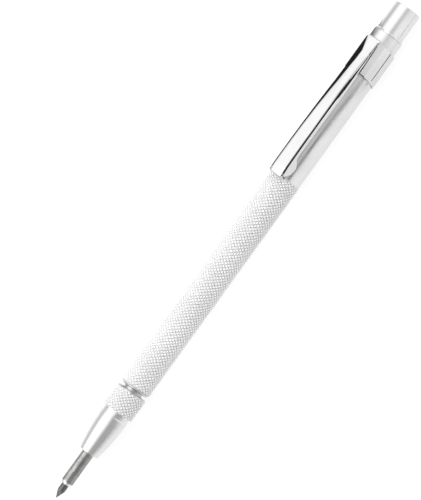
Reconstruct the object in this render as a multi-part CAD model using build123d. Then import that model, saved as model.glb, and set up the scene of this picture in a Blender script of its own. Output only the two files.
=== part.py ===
from build123d import *
import math
import os

# Pen-style scriber lying on its side: long axis along X with the point towards -X,
# pocket clip on top (+Z), symmetric about Y = 0, origin under the middle of its bounding box.
# All sizes are in millimetres. A "station" is a distance from the very tip, measured along the tool.

LENGTH = 148.7

# Point: steel shank with a brazed carbide tip
TIP_FLAT_RADIUS = 0.04
CARBIDE_RADIUS = 0.965
CARBIDE_CONE_END = 2.1
SHANK_FRONT = 4.05
SHANK_FRONT_RADIUS = 1.25
SHANK_CHAMFER_END = 4.7
SHANK_RADIUS = 3.175 / 2
SHANK_REAR = 32.0
SHANK_REAR_CHAMFER = 0.3
CARBIDE_SOCKET_END = 7.4
BRAZE_GAP = 0.01

# Nose nut: knurled collar and ogive cone in one turning
NOSE_FRONT = 13.7
NOSE_LIP_RADIUS = 2.6
NOSE_LIP_CHAMFER = 0.1
NOSE_ARC_MIDDLE = (17.8, 3.24)
NOSE_MOUTH_RADIUS = 1.78
NOSE_MOUTH_CHAMFER = 0.12
NOSE_RING_START = 24.65
NOSE_RING_RADIUS = 3.66
NOSE_RING_EDGE = 0.25
NOSE_RING_UNDERCUT = 3.6
NOSE_KNURL_START = 26.05
NOSE_KNURL_END = 31.8
NOSE_KNURL_RADIUS = 4.2
NOSE_KNURL_CHAMFER = 0.15
NOSE_REAR = 32.2
NOSE_REAR_RADIUS = 3.83
NOSE_SEAT_START = 15.3
NOSE_SEAT_END = 19.2
NOSE_SEAT_RADIUS = 2.56
NOSE_THREAD_START = 24.2

# Split collet
COLLET_FRONT = 15.5
COLLET_REAR = 31.0
COLLET_HEAD_RADIUS = 2.5
COLLET_HEAD_START = 19.2
COLLET_HEAD_END = 22.6
COLLET_HEAD_CHAMFER = 0.4
COLLET_SEAT_GAP = 0.05
COLLET_BODY_RADIUS = 2.1
COLLET_BORE_RADIUS = SHANK_RADIUS + 0.03
COLLET_SLOTS = 3
COLLET_SLOT_WIDTH = 0.45
COLLET_SLOT_END = 26.0

# Threads are shown as rings of the right pitch and depth
THREAD_PITCH = 0.75
THREAD_RADIUS = 3.0
THREAD_DEPTH = 0.4
THREAD_CLEARANCE = 0.04
THREAD_CREST_START = 0.4
THREAD_CREST_END = 0.6

# Barrel
NECK_FRONT = 24.5
NECK_THREAD_END = 31.25
NECK_RUN_OUT = 0.2
NECK_ROOT_RADIUS = THREAD_RADIUS - 0.05
NECK_BORE_RADIUS = COLLET_BODY_RADIUS + 0.03
NECK_BORE_END = COLLET_REAR + 0.05
GRIP_FRONT = 32.95
GRIP_FRONT_RADIUS = 3.45
GRIP_START = 33.9
GRIP_END = 96.7
GRIP_RADIUS = 4.2
GRIP_REAR_CHAMFER = 0.2
BARREL_RADIUS = 4.0
BARREL_END = 140.4
BARREL_END_CHAMFER = 0.2
POINT_BORE_RADIUS = 1.8
STORE_START = 36.0
STORE_RADIUS = 2.5
STORE_TAPER = 0.7
TAIL_THREAD_START = 134.4

# Tail cap with its magnet
CAP_RADIUS = 3.58
CAP_EDGE = 0.3
CAP_FOOT_RADIUS = 3.9
CAP_FOOT_HEIGHT = 0.6
CAP_SEAM = 0.02
CAP_SPIGOT_FRONT = 135.0
CAP_SPIGOT_BORE = 1.6
CAP_RELIEF_RADIUS = 2.55
CAP_RELIEF_LENGTH = 0.7
CAP_RUN_OUT = 0.2
MAGNET_RADIUS = 2.5
MAGNET_FRONT = 144.9
MAGNET_EDGE = 0.15
GLUE_GAP = 0.02

# Pocket clip: one folded sheet, made here as its band and its tongue
SHEET = 0.4
BAND_CLEARANCE = 0.03
BAND_FLAT = BARREL_RADIUS + BAND_CLEARANCE + SHEET
BAND_SIDES = 12
BAND_TOP_HALF_WIDTH = 2.0
BAND_TOP_INSET = 0.45
BAND_FRONT = 128.4
BAND_REAR = 137.5
BAND_SKEW = 0.12
BAND_SEAM = 0.16
FOLD_GAP = 0.07
FOLD_SPLIT = 0.04
FOLD_FACE = BAND_FLAT + FOLD_GAP + SHEET
TONGUE_SPLAY = math.radians(15)
TONGUE_END = 96.75
TONGUE_FOLD_HALF_WIDTH = 1.93
TONGUE_WIDENING = 0.0130
TONGUE_NOSE_TOP = 5.15
TONGUE_NOSE_BOTTOM = 4.75
TONGUE_NOSE_REACH = 0.1
TONGUE_INNER_NOSE = 5.2
TONGUE_CREST = [
    (BAND_REAR, FOLD_FACE),
    (132.4, 5.40),
    (126.0, 5.80),
    (116.0, 5.99),
    (106.0, 6.01),
    (100.0, 5.94),
    (97.6, 5.76),
    (TONGUE_END + TONGUE_NOSE_REACH, 5.35),
]
TONGUE_LOWER_EDGE = [
    (116.0, 4.83),
    (126.0, 4.80),
    (132.0, 4.72),
    (135.6, 4.66),
    (BAND_REAR, 4.50),
]
EAR_FRONT = (97.3, 4.12)
EAR_MIDDLE = (98.7, 3.63)
EAR_LOW = (100.4, 3.46)
EAR_REAR = (102.2, 4.86)

# Working sizes of the cutters: each only has to reach past what it trims
OVERSHOOT = 1.0
WEDGE_LOW = 1.0
WEDGE_HIGH = 8.0
CAVITY_FLOOR = 2.0
TONGUE_REACH = 4.0

AXIS_Z = BAND_FLAT


def at(station):
    """X of a station."""
    return station - LENGTH / 2


def place(pair):
    """Point in the plane Y = 0 from (station, height above the tool's axis)."""
    return (at(pair[0]), 0, AXIS_Z + pair[1])


def turned(outline):
    """Solid of revolution about the tool's axis from (station, radius) points."""
    face = make_face(Polyline(*[place(p) for p in outline], close=True))
    return revolve(face, Axis((0, 0, AXIS_Z), (1, 0, 0)), 360)


def turned_with_arc(before, arc_start, arc_middle, arc_end, after):
    """Like turned(), with one stretch of the outline running on an arc."""
    line_in = Polyline(*[place(p) for p in before + [arc_start]])
    arc = ThreePointArc(place(arc_start), place(arc_middle), place(arc_end))
    line_out = Polyline(*[place(p) for p in [arc_end] + after + [before[0]]])
    face = make_face([line_in, arc, line_out])
    return revolve(face, Axis((0, 0, AXIS_Z), (1, 0, 0)), 360)


def bore(start, end, radius):
    """Cylinder along the tool's axis, used as a cutter."""
    length = end - start
    centre = Location((at(start) + length / 2, 0, AXIS_Z), (0, 90, 0))
    return centre * Cylinder(radius, length)


def thread_teeth(start, end):
    """Outline points of V rings from station start to end."""
    points = []
    count = int((end - start) / THREAD_PITCH)
    for turn in range(count):
        left = start + turn * THREAD_PITCH
        points.append((left, THREAD_RADIUS - THREAD_DEPTH))
        points.append((left + THREAD_CREST_START * THREAD_PITCH, THREAD_RADIUS))
        points.append((left + THREAD_CREST_END * THREAD_PITCH, THREAD_RADIUS))
    points.append((start + count * THREAD_PITCH, THREAD_RADIUS - THREAD_DEPTH))
    return points


def make_carbide_tip():
    return turned(
        [
            (0, 0),
            (0, TIP_FLAT_RADIUS),
            (CARBIDE_CONE_END, CARBIDE_RADIUS),
            (CARBIDE_SOCKET_END, CARBIDE_RADIUS),
            (CARBIDE_SOCKET_END, 0),
        ]
    )


def make_point_shank():
    shank = turned(
        [
            (SHANK_FRONT, 0),
            (SHANK_FRONT, SHANK_FRONT_RADIUS),
            (SHANK_CHAMFER_END, SHANK_RADIUS),
            (SHANK_REAR - SHANK_REAR_CHAMFER, SHANK_RADIUS),
            (SHANK_REAR, SHANK_RADIUS - SHANK_REAR_CHAMFER),
            (SHANK_REAR, 0),
        ]
    )
    socket_end = CARBIDE_SOCKET_END + BRAZE_GAP
    return shank - bore(SHANK_FRONT - OVERSHOOT, socket_end, CARBIDE_RADIUS + BRAZE_GAP)


def make_nose_nut():
    inner_thread_radius = THREAD_RADIUS + THREAD_CLEARANCE
    return turned_with_arc(
        before=[
            (NOSE_REAR, inner_thread_radius),
            (NOSE_THREAD_START, inner_thread_radius),
            (NOSE_THREAD_START, NOSE_SEAT_RADIUS),
            (NOSE_SEAT_END, NOSE_SEAT_RADIUS),
            (NOSE_SEAT_START, NOSE_MOUTH_RADIUS),
            (NOSE_FRONT + NOSE_MOUTH_CHAMFER, NOSE_MOUTH_RADIUS),
            (NOSE_FRONT, NOSE_MOUTH_RADIUS + NOSE_MOUTH_CHAMFER),
            (NOSE_FRONT, NOSE_LIP_RADIUS - NOSE_LIP_CHAMFER),
        ],
        arc_start=(NOSE_FRONT + NOSE_LIP_CHAMFER, NOSE_LIP_RADIUS),
        arc_middle=NOSE_ARC_MIDDLE,
        arc_end=(NOSE_RING_START - NOSE_RING_EDGE, NOSE_RING_RADIUS),
        after=[
            (NOSE_RING_START, NOSE_RING_UNDERCUT),
            (NOSE_KNURL_START, NOSE_RING_UNDERCUT),
            (NOSE_KNURL_START, NOSE_KNURL_RADIUS - NOSE_KNURL_CHAMFER),
            (NOSE_KNURL_START + NOSE_KNURL_CHAMFER, NOSE_KNURL_RADIUS),
            (NOSE_KNURL_END, NOSE_KNURL_RADIUS),
            (NOSE_REAR, NOSE_REAR_RADIUS),
        ],
    )


def make_collet():
    slope = (NOSE_SEAT_RADIUS - NOSE_MOUTH_RADIUS) / (NOSE_SEAT_END - NOSE_SEAT_START)
    front_radius = NOSE_MOUTH_RADIUS + slope * (COLLET_FRONT - NOSE_SEAT_START) - COLLET_SEAT_GAP
    collet = turned(
        [
            (COLLET_FRONT, COLLET_BORE_RADIUS),
            (COLLET_FRONT, front_radius),
            (COLLET_HEAD_START, COLLET_HEAD_RADIUS),
            (COLLET_HEAD_END, COLLET_HEAD_RADIUS),
            (COLLET_HEAD_END + COLLET_HEAD_CHAMFER, COLLET_BODY_RADIUS),
            (COLLET_REAR, COLLET_BODY_RADIUS),
            (COLLET_REAR, COLLET_BORE_RADIUS),
        ]
    )
    slot_length = COLLET_SLOT_END - COLLET_FRONT + OVERSHOOT
    slot = Box(
        slot_length,
        COLLET_SLOT_WIDTH,
        COLLET_HEAD_RADIUS + OVERSHOOT,
        align=(Align.MAX, Align.CENTER, Align.MIN),
    )
    for index in range(COLLET_SLOTS):
        turn = 360 / COLLET_SLOTS * index
        collet -= Location((at(COLLET_SLOT_END), 0, AXIS_Z), (turn, 0, 0)) * slot
    return collet


def make_barrel():
    outline = [(NECK_FRONT, NECK_BORE_RADIUS)]
    outline += thread_teeth(NECK_FRONT, NECK_THREAD_END)
    outline += [
        (NECK_THREAD_END + NECK_RUN_OUT, NECK_ROOT_RADIUS),
        (GRIP_FRONT, NECK_ROOT_RADIUS),
        (GRIP_FRONT, GRIP_FRONT_RADIUS),
        (GRIP_START, GRIP_RADIUS),
        (GRIP_END, GRIP_RADIUS),
        (GRIP_END + GRIP_REAR_CHAMFER, BARREL_RADIUS),
        (BARREL_END - BARREL_END_CHAMFER, BARREL_RADIUS),
        (BARREL_END, BARREL_RADIUS - BARREL_END_CHAMFER),
        (BARREL_END, THREAD_RADIUS + THREAD_CLEARANCE),
        (TAIL_THREAD_START, THREAD_RADIUS + THREAD_CLEARANCE),
        (TAIL_THREAD_START, STORE_RADIUS),
        (STORE_START, STORE_RADIUS),
        (STORE_START - STORE_TAPER, POINT_BORE_RADIUS),
        (NECK_BORE_END, POINT_BORE_RADIUS),
        (NECK_BORE_END, NECK_BORE_RADIUS),
    ]
    return turned(outline)


def make_tail_cap():
    outline = [(CAP_SPIGOT_FRONT, CAP_SPIGOT_BORE)]
    outline += thread_teeth(CAP_SPIGOT_FRONT, BARREL_END - CAP_RELIEF_LENGTH)
    outline += [
        (BARREL_END - CAP_RELIEF_LENGTH + CAP_RUN_OUT, CAP_RELIEF_RADIUS),
        (BARREL_END + CAP_SEAM, CAP_RELIEF_RADIUS),
        (BARREL_END + CAP_SEAM, CAP_FOOT_RADIUS),
        (BARREL_END + CAP_SEAM + CAP_FOOT_HEIGHT, CAP_RADIUS),
        (LENGTH - CAP_EDGE, CAP_RADIUS),
        (LENGTH, CAP_RADIUS - CAP_EDGE),
        (LENGTH, MAGNET_RADIUS + GLUE_GAP),
        (MAGNET_FRONT - GLUE_GAP, MAGNET_RADIUS + GLUE_GAP),
        (MAGNET_FRONT - GLUE_GAP, CAP_SPIGOT_BORE),
    ]
    return turned(outline)


def make_magnet():
    return turned(
        [
            (MAGNET_FRONT, 0),
            (MAGNET_FRONT, MAGNET_RADIUS),
            (LENGTH - MAGNET_EDGE, MAGNET_RADIUS),
            (LENGTH, MAGNET_RADIUS - MAGNET_EDGE),
            (LENGTH, 0),
        ]
    )


def band_corners(inset):
    """Corner points (y, height) of the band's twelve-sided section, inset by a wall thickness."""
    flat = BAND_FLAT - inset
    side_angle = 2 * math.pi / BAND_SIDES
    corner = flat / math.cos(side_angle / 2)
    right = [(BAND_TOP_HALF_WIDTH - BAND_TOP_INSET * inset, flat)]
    for side in range(1, BAND_SIDES // 2):
        turn = (side + 0.5) * side_angle
        right.append((corner * math.sin(turn), corner * math.cos(turn)))
    left = [(-y, height) for y, height in reversed(right)]
    return right + left


def band_prism(inset, start, end):
    """Prism of the band's section between two stations."""
    plane = Plane(origin=(at(start), 0, AXIS_Z), x_dir=(0, 1, 0), z_dir=(1, 0, 0))
    section = plane * make_face(Polyline(*band_corners(inset), close=True))
    return extrude(section, end - start)


def make_clip_band():
    """Twelve-sided ring with slanting ends, split along the bottom where its edges meet."""
    lean = 2 * BAND_SKEW * BAND_FLAT
    front = BAND_FRONT - lean - OVERSHOOT
    rear = BAND_REAR + OVERSHOOT
    ring = band_prism(0, front, rear)
    ring -= band_prism(SHEET, front - OVERSHOOT, rear + OVERSHOOT)
    split = BAND_REAR - FOLD_SPLIT
    side = Polyline(
        place((BAND_FRONT - lean, -BAND_FLAT)),
        place((BAND_FRONT, BAND_FLAT)),
        place((split, BAND_FLAT)),
        place((split - lean, -BAND_FLAT)),
        close=True,
    )
    ring = ring & extrude(make_face(side), 2 * BAND_FLAT, both=True)
    seam = Box(rear - front, BAND_SEAM, BAND_FLAT, align=(Align.MIN, Align.CENTER, Align.MAX))
    return ring - Location(place((front, 0))) * seam


def tongue_half_width(station, height, inset):
    """Half width of the tongue's outer wall at a station and height above the axis."""
    base = TONGUE_FOLD_HALF_WIDTH + math.tan(TONGUE_SPLAY) * FOLD_FACE
    base += TONGUE_WIDENING * (BAND_REAR - station)
    return base - math.tan(TONGUE_SPLAY) * height - inset / math.cos(TONGUE_SPLAY)


def tongue_wedge(inset, start, end):
    """Tapered prism between the two splayed side walls."""
    faces = []
    for station in (start, end):
        wide = tongue_half_width(station, WEDGE_LOW, inset)
        narrow = tongue_half_width(station, WEDGE_HIGH, inset)
        corners = [(wide, WEDGE_LOW), (narrow, WEDGE_HIGH), (-narrow, WEDGE_HIGH), (-wide, WEDGE_LOW)]
        points = [(at(station), y, AXIS_Z + height) for y, height in corners]
        faces.append(make_face(Polyline(*points, close=True)))
    return loft(faces, ruled=True)


def make_tongue_outside():
    """Solid block with the tongue's outer surface: crest line, blunt nose, ear and lower edge."""
    crest = Spline(*[place(p) for p in TONGUE_CREST])
    nose = Polyline(
        place(TONGUE_CREST[-1]),
        place((TONGUE_END, TONGUE_NOSE_TOP)),
        place((TONGUE_END, TONGUE_NOSE_BOTTOM)),
        place(EAR_FRONT),
    )
    ear = ThreePointArc(place(EAR_FRONT), place(EAR_MIDDLE), place(EAR_LOW))
    lower = Polyline(*[place(p) for p in [EAR_LOW, EAR_REAR] + TONGUE_LOWER_EDGE + [TONGUE_CREST[0]]])
    outline = make_face([crest, nose, ear, lower])
    wedge = tongue_wedge(0, TONGUE_END - OVERSHOOT, BAND_REAR + OVERSHOOT)
    return extrude(outline, TONGUE_REACH, both=True) & wedge


def make_tongue_inside():
    """Cutter for the hollow of the tongue, one sheet thickness inside its outer surface."""
    nose = TONGUE_END + SHEET
    roof_points = [(station, height - SHEET) for station, height in TONGUE_CREST[:-2]]
    roof_points.append((nose + TONGUE_NOSE_REACH, TONGUE_INNER_NOSE))
    roof = Spline(*[place(p) for p in roof_points])
    rest = Polyline(
        place(roof_points[-1]),
        place((nose, CAVITY_FLOOR)),
        place((BAND_REAR + OVERSHOOT, CAVITY_FLOOR)),
        place((BAND_REAR + OVERSHOOT, roof_points[0][1])),
        place(roof_points[0]),
    )
    wedge = tongue_wedge(SHEET, TONGUE_END - OVERSHOOT, BAND_REAR + 2 * OVERSHOOT)
    return extrude(make_face([roof, rest]), TONGUE_REACH, both=True) & wedge


def make_fold():
    """Half ring that joins the tongue to the band's top face."""
    centre = Location(place((BAND_REAR, BAND_FLAT + FOLD_GAP / 2)), (90, 0, 0))
    width = 2 * TONGUE_FOLD_HALF_WIDTH
    fold = centre * Cylinder(FOLD_GAP / 2 + SHEET, width)
    fold -= centre * Cylinder(FOLD_GAP / 2, width + OVERSHOOT)
    rear_half = Box(1, width + OVERSHOOT, 2, align=(Align.MIN, Align.CENTER, Align.CENTER))
    return fold & (Location(place((BAND_REAR, BAND_FLAT + FOLD_GAP / 2))) * rear_half)


def make_clip_tongue():
    return make_tongue_outside() - make_tongue_inside() + make_fold()


PARTS = {
    "carbide_tip": make_carbide_tip,
    "point_shank": make_point_shank,
    "nose_nut": make_nose_nut,
    "collet": make_collet,
    "barrel": make_barrel,
    "tail_cap": make_tail_cap,
    "tail_magnet": make_magnet,
    "clip_band": make_clip_band,
    "clip_tongue": make_clip_tongue,
}

os.makedirs("parts", exist_ok=True)
for name, maker in PARTS.items():
    part = maker()
    part.label = name
    export_step(part, f"parts/{name}.step")
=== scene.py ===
import math
from collections import namedtuple

import bpy
import numpy as np
from mathutils import Matrix, Vector


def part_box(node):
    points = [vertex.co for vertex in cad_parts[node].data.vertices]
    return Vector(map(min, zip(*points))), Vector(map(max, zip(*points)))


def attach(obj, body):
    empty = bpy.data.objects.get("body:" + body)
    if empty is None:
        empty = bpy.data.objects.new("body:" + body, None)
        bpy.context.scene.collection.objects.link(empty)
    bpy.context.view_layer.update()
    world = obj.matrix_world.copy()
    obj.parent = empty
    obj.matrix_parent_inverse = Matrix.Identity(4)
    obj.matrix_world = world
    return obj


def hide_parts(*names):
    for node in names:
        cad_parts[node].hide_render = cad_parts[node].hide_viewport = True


# A pen-style scriber on a pale floor. Sizes are in millimetres until a mesh is made.
# A "station" is a distance from the very tip along the tool, and radii are from the tool's axis.

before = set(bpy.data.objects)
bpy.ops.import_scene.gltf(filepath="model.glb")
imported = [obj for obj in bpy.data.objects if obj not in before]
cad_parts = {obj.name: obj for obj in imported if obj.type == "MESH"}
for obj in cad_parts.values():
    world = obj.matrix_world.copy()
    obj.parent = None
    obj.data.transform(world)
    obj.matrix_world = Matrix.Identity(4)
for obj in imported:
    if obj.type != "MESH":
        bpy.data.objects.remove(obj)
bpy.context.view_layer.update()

MM = 0.001
TIP_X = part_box("carbide_tip")[0].x
AXIS_Z = (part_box("tail_magnet")[0].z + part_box("tail_magnet")[1].z) / 2


def stations(node):
    """Where a CAD node starts and ends along the tool."""
    low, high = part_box(node)
    return (low.x - TIP_X) / MM, (high.x - TIP_X) / MM


def widest(node):
    """Largest radius of a turned CAD node."""
    low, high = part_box(node)
    return (high.y - low.y) / 2 / MM


def place(station):
    """A station as a place along X, in metres."""
    return TIP_X + station * MM


LENGTH = stations("tail_cap")[1]
SHANK_START, SHANK_END = stations("point_shank")
SHANK_RADIUS = widest("point_shank")
CARBIDE_END = stations("carbide_tip")[1]
CARBIDE_RADIUS = widest("carbide_tip")
NOSE_START, NOSE_END = stations("nose_nut")
NECK_START, BARREL_END = stations("barrel")
GRIP_RADIUS = widest("barrel")
BAND_FLAT = widest("clip_band")
MAGNET_START = stations("tail_magnet")[0]
MAGNET_RADIUS = widest("tail_magnet")

# Point
SHANK_FRONT_RADIUS = 1.25
CHAMFER_END = 4.7
# end of the painted highlight on the shank's front chamfer
CHAMFER_HIGHLIGHT_END = CHAMFER_END + 0.05
BRAZE_GAP = 0.01
SHANK_FACETS = 9
SHANK_FACET_DEPTH = 0.03
CONE_END = 2.1
CONE_TIP_RADIUS = 0.04
CONE_FACES = 4
CONE_FACE_SHARE = 0.9
CONE_FACE_TURN = 0.35

# Nose nut
NOSE_LIP = 2.6
NOSE_MOUTH = 1.78
NOSE_MOUTH_CHAMFER = 0.12
NOSE_ARC_MIDDLE = (17.8, 3.24)
RING_START = 24.65
RING_TOP = 3.66
RING_LOW = 3.6
RING_EDGE = 0.25
NOSE_KNURL_START = 26.05
NOSE_KNURL_END = 31.8
NOSE_REAR_RADIUS = 3.83
NOSE_SEAT = (15.3, 19.2)
NOSE_SEAT_RADIUS = 2.56
NOSE_THREAD_START = 24.2

# Barrel
NECK_BORE = 2.13
NECK_BORE_LENGTH = 6.55
NECK_CORE = 2.55
NECK_THREAD_END = 31.25
GRIP_FRONT = 32.95
GRIP_FRONT_RADIUS = 3.45
GRIP_START = 33.9
GRIP_REAR = 96.7
PLAIN_RADIUS = 4.0
POINT_BORE = 1.8
STORE_START = 36.0
STORE_RADIUS = 2.5
STORE_TAPER = 0.7
TAIL_THREAD_START = 134.4

# Tail cap
CAP_RADIUS = 3.58
CAP_EDGE = 0.3
CAP_FOOT_RADIUS = 3.9
CAP_FOOT_HEIGHT = 0.6
CAP_SEAM = 0.02
CAP_SPIGOT_FRONT = 135.0
CAP_SPIGOT_BORE = 1.6
CAP_RELIEF = 2.55
CAP_RELIEF_LENGTH = 0.7
GLUE_GAP = 0.02
MAGNET_EDGE = 0.15

# Knurl: V grooves that run both ways round and leave flat-topped diamonds
KNURL_STARTS = 23
KNURL_PITCH = 0.93
KNURL_STEPS = 6
KNURL_DEPTH = 0.22
KNURL_FLANK = 1 / 3
SIDES = KNURL_STARTS * KNURL_STEPS
FINE_SIDES = 96

# Threads
THREAD_PITCH = 0.75
THREAD_RADIUS = 3.0
THREAD_DEPTH = 0.4
THREAD_ROOT = THREAD_RADIUS - THREAD_DEPTH
THREAD_BORE = THREAD_RADIUS + 0.04
THREAD_STEPS = 10
THREAD_CREST = 0.15
THREAD_FLANK = 0.7

# Pocket clip: one folded sheet
SHEET = 0.4
FOLD_GAP = 0.07
FOLD_SPLIT = 0.04
FOLD = 137.5
BAND_END = FOLD - FOLD_SPLIT
BAND_FRONT = 128.4
BAND_SKEW = 0.12
BAND_SEAM = 0.16
BAND_TOP_HALF_WIDTH = 2.0
BAND_TOP_INSET = 0.45
BAND_CORNERS = (165, 135, 105, 75, 45)
BAND_ROWS = (0, 0.02, 0.04, 0.25, 0.5, 0.75, 0.96, 0.98, 1)
BAND_BEND = 0.3
BAND_INNER_BEND = 0.05
BAND_BEND_SHARES = (1, 1, 1, 1, 4, 1 / 3, 1 / 3)

TONGUE_LIP = 96.9
LIP_RADIUS = 0.55
TONGUE_FOLD_HALF_WIDTH = 1.93
TONGUE_WIDENING = 0.0070
TONGUE_TILT = 21.0
TONGUE_SPLAY = 15.0
TONGUE_CROWN = 0.05
TONGUE_APEX = 133.3
FRONT_FACET_TURN = 0.444
REAR_FACET_TURN = 0.585

# Along the tongue, as (station, value): the height of its crest, the length of its side walls with
# the ears near the free end, the radius of the bend into a wall, the width of the flat facet in that
# bend, how far round the bend the facet is, and how far the shoulder lies in from the corner.
TONGUE_CREST = [(TONGUE_LIP, 5.66), (97.6, 5.80), (99.0, 5.90), (101.0, 5.95), (106.0, 6.0), (116.0, 5.98),
                (126.0, 5.88), (130.0, 5.82), (133.0, 5.72), (134.2, 5.56), (FOLD, 4.90)]
TONGUE_WALL = [(TONGUE_LIP, 0.75), (97.3, 1.55), (98.3, 2.24), (99.2, 2.50), (99.9, 2.58), (100.5, 2.52),
               (101.1, 2.13), (102.2, 1.12), (103.0, 1.0), (110.0, 1.1), (123.0, 1.15), (129.6, 1.0),
               (135.8, 0.6), (136.8, 0.42), (FOLD, 0.2)]
TONGUE_BEND = [(TONGUE_LIP, 0.42), (110.0, 0.42), (116.6, 0.58), (121.0, 0.75), (124.0, 0.9), (131.0, 0.9),
               (133.3, 0.5), (135.5, 0.35), (FOLD, 0.14)]
TONGUE_FACET = [(TONGUE_LIP, 0.37), (113.0, 0.37), (118.0, 0.4), (123.0, 0.5), (127.0, 0.4), (130.0, 0.18),
                (FOLD, 0.12)]
TONGUE_FACET_TURN = [(122.0, FRONT_FACET_TURN), (125.0, REAR_FACET_TURN)]
TONGUE_SHOULDER = [(99.0, 0.2), (105.0, 0.26), (110.0, 0.32), (116.6, 0.48), (121.0, 0.62), (124.0, 0.78),
                   (126.0, 0.9), (128.6, 1.1), (131.0, 1.35), (133.3, 1.9)]

# Finishes, with painted light on the knurls and painted shade in their grooves and at the necks
SHARP = math.radians(28)
KNURL_ROUGHNESS = 0.82
# painted light: the knurled zones' colour is brightened to stand in for the light falling on them
BARREL_KNURL_PAINTED_LIGHT = 1.33
NOSE_KNURL_PAINTED_LIGHT = 1.26
# painted shade: the knurl's grooves are darker, and less so on the side away from the front
GROOVE_SHADE_TONE = 0.68
FAR_SIDE_GROOVE_SHADE = 0.7
# painted shade on the necks where the nose and the barrel meet
NECK_SHADE_TONE = 0.7
RING_GRAIN = (9000, 160, 160)
STREAK_GRAIN = (60, 2600, 2600)

# Cards beside the tool: first and last station, then what make_cards says
FRONT_FLAG = (88.0, 131.5), (49.0, 64.0)
BAND_FLAG = (126.0, 142.0), (64.0, 80.0)
BACK_FLAG = (95.0, 144.0), [(6, 0.3), (27, 0.3), (27, 24)]
BEND_CARD = (129.5, 139.0), [(-11.0, 0.3), (-22.0, 0.3)]
CAP_CARD = (141.0, 153.0), [(-12.0, 0.3), (-13.2, 0.3)]
NOSE_CARD = (-70.0, 25.0), [(-9.0, 0.2), (-150.0, 0.2)]
FLAG_DISTANCE = 50

# View
VIEW_ELEVATION = math.radians(56.5)
VIEW_ROLL = math.radians(54.22)
VIEW_DISTANCE = 0.85
VIEW_SCALE = 4.05
AIM_STATION = 71.9
AIM_ACROSS = 4.80
FRAME_HEIGHT = 500
SENSOR = 36.0


# ---------------------------------------------------------------- mesh helpers


def mesh_object(name, verts, faces):
    """New object from points in millimetres (station, y, height above the axis)."""
    points = np.asarray(verts, float) * MM
    points[:, 0] += TIP_X
    points[:, 2] += AXIS_Z
    mesh = bpy.data.meshes.new(name)
    mesh.from_pydata(points.tolist(), [], faces)
    mesh.validate()
    mesh.shade_smooth()
    mesh.set_sharp_from_angle(angle=SHARP)
    obj = bpy.data.objects.new(name, mesh)
    bpy.context.scene.collection.objects.link(obj)
    return obj


def turns(sides):
    """Angle of each side of a turned shape, from +Y towards +Z."""
    return 2 * math.pi * np.arange(sides) / sides


def ring(station, radius, sides):
    """Points round the axis, from one radius or one radius per side."""
    angle = turns(sides)
    radii = np.broadcast_to(np.asarray(radius, float), (sides,))
    return np.stack([np.full(sides, float(station)), radii * np.cos(angle), radii * np.sin(angle)], 1)


def lathe(name, rows, sides=SIDES):
    """Closed turned shape. rows run round its section: (station, radius or one radius per side).

    The section is listed so that the outside runs towards the tail, which makes faces point out.
    A face that isn't flat is split where the radius changes least, along the knurl's grooves.
    """
    verts = [ring(station, radius, sides) for station, radius in rows]
    radii = [np.broadcast_to(np.asarray(radius, float), (sides,)) for _, radius in rows]
    faces = []
    for i in range(len(rows)):
        k = (i + 1) % len(rows)
        for j in range(sides):
            n = (j + 1) % sides
            a, b, c, d = i * sides + j, i * sides + n, k * sides + n, k * sides + j
            first = abs(radii[i][j] - radii[k][n])
            second = abs(radii[i][n] - radii[k][j])
            if first < 1e-9 and second < 1e-9:
                faces.append((a, b, c, d))
            elif first <= second:
                faces += [(a, b, c), (a, c, d)]
            else:
                faces += [(a, b, d), (b, c, d)]
    return mesh_object(name, np.concatenate(verts), faces)


def solid_lathe(name, rows, sides):
    """Turned shape without a bore: rows run from the front pole to the rear pole."""
    front = [[rows[0][0], 0, 0]]
    rear = [[rows[-1][0], 0, 0]]
    verts = [front] + [ring(station, radius, sides) for station, radius in rows] + [rear]
    faces = []
    last = 1 + len(rows) * sides
    for j in range(sides):
        n = (j + 1) % sides
        faces.append((0, 1 + n, 1 + j))
        faces.append((last, last - sides + j, last - sides + n))
        for i in range(len(rows) - 1):
            start = 1 + i * sides
            faces.append((start + j, start + n, start + sides + n, start + sides + j))
    return mesh_object(name, np.concatenate(verts), faces)


def rounded(corners, steps=4):
    """Open line through (a, b, fillet) corners, each inner corner rounded to its fillet."""
    points = []
    for i, (a, b, fillet) in enumerate(corners):
        if i in (0, len(corners) - 1) or fillet <= 0:
            points.append((a, b))
            continue
        here = Vector((a, b))
        before = Vector(corners[i - 1][:2]) - here
        after = Vector(corners[i + 1][:2]) - here
        half = before.angle(after) / 2
        reach = min(fillet / math.tan(half), 0.49 * before.length, 0.49 * after.length)
        radius = reach * math.tan(half)
        inward = (before.normalized() + after.normalized()).normalized()
        centre = here + inward * (radius / math.sin(half))
        start = here + before.normalized() * reach - centre
        turn = start.angle_signed(here + after.normalized() * reach - centre)
        for step in range(steps + 1):
            spoke = Matrix.Rotation(-turn * step / steps, 2) @ start
            points.append(tuple(centre + spoke))
    return points


def arc_rows(start, middle, end, count):
    """Points of the circle through three (station, radius) points, ends included."""
    (ax, ay), (bx, by), (cx, cy) = start, middle, end
    d = 2 * (ax * (by - cy) + bx * (cy - ay) + cx * (ay - by))
    a2, b2, c2 = ax * ax + ay * ay, bx * bx + by * by, cx * cx + cy * cy
    ux = (a2 * (by - cy) + b2 * (cy - ay) + c2 * (ay - by)) / d
    uy = (a2 * (cx - bx) + b2 * (ax - cx) + c2 * (bx - ax)) / d
    radius = math.hypot(ax - ux, ay - uy)
    spokes = np.linspace(math.atan2(ay - uy, ax - ux), math.atan2(cy - uy, cx - ux), count)
    return [(ux + radius * math.cos(t), uy + radius * math.sin(t)) for t in spokes]


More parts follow.
